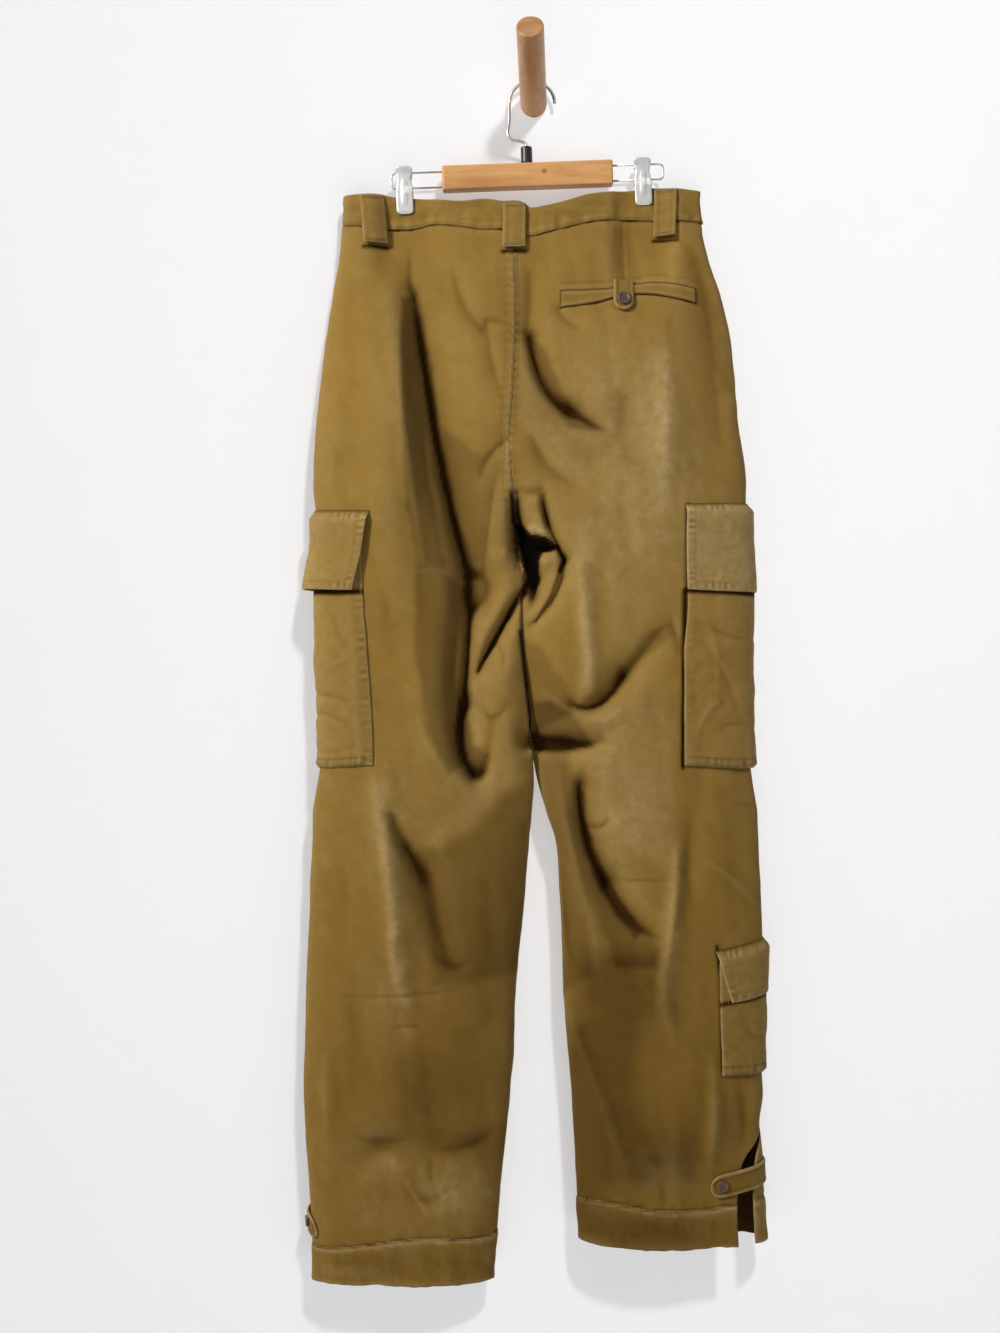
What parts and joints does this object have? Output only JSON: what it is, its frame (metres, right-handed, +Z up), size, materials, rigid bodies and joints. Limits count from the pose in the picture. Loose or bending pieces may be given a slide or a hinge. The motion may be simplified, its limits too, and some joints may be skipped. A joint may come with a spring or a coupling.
{
  "type": "cargo pants on a clip hanger and wall peg",
  "caption": "Cotton cargo pants held by the waistband in the clips of a wooden bar hanger, which hangs by its wire hook on a round wall peg.",
  "frame": {"origin": "middle of the wall peg's flat back end, in the plane of the wall", "axes": "+Y into the wall, +Z up along the hanging legs, +X to the right of someone facing the wall"},
  "size_m": [0.4674, 0.0961, 1.2399],
  "materials": {
    "ankle_button_left": "satin",
    "ankle_button_right": "satin",
    "ankle_tab_left": "cotton twill",
    "ankle_tab_right": "cotton twill",
    "back_left": "cotton twill",
    "back_right": "cotton twill",
    "back_pocket_welt": "cotton twill",
    "belt_loop_left": "cotton twill",
    "belt_loop_centre": "cotton twill",
    "belt_loop_right": "cotton twill",
    "belt_loop_front_left": "cotton twill",
    "belt_loop_front_right": "cotton twill",
    "calf_flap_right": "cotton twill",
    "calf_pocket_right": "cotton twill",
    "cargo_flap_left": "cotton twill",
    "cargo_flap_right": "cotton twill",
    "cargo_pocket_left": "cotton twill",
    "cargo_pocket_right": "cotton twill",
    "clip_left": "nickel-plated pressed steel",
    "clip_right": "nickel-plated pressed steel",
    "fly_placket": "cotton twill",
    "front_left": "cotton twill",
    "front_right": "cotton twill",
    "hanger_bar": "varnished",
    "hook": "nickel-plated wire",
    "hook_collar": "satin black",
    "pocket_button": "satin",
    "pocket_tab": "cotton twill",
    "rail_left": "nickel-plated wire",
    "rail_right": "nickel-plated wire",
    "waist_button": "satin",
    "waistband_back": "cotton twill",
    "waistband_front_left": "cotton twill",
    "waistband_front_right": "cotton twill",
    "wall_peg": "varnished"
  },
  "bodies": {
    "root": {"ankle_button_left": "ankle_button_left", "ankle_button_right": "ankle_button_right", "ankle_tab_left": "ankle_tab_left", "ankle_tab_right": "ankle_tab_right", "back_left": "back_left", "back_right": "back_right", "back_pocket_welt": "back_pocket_welt", "belt_loop_left": "belt_loop_left", "belt_loop_centre": "belt_loop_centre", "belt_loop_right": "belt_loop_right", "belt_loop_front_left": "belt_loop_front_left", "belt_loop_front_right": "belt_loop_front_right", "calf_flap_right": "calf_flap_right", "calf_pocket_right": "calf_pocket_right", "cargo_flap_left": "cargo_flap_left", "cargo_flap_right": "cargo_flap_right", "cargo_pocket_left": "cargo_pocket_left", "cargo_pocket_right": "cargo_pocket_right", "clip_left": "clip_left", "clip_right": "clip_right", "fly_placket": "fly_placket", "front_left": "front_left", "front_right": "front_right", "hanger_bar": "hanger_bar", "hook": "hook", "hook_collar": "hook_collar", "pocket_button": "pocket_button", "pocket_tab": "pocket_tab", "rail_left": "rail_left", "rail_right": "rail_right", "waist_button": "waist_button", "waistband_back": "waistband_back", "waistband_front_left": "waistband_front_left", "waistband_front_right": "waistband_front_right", "wall_peg": "wall_peg"}
  },
  "joints": []
}
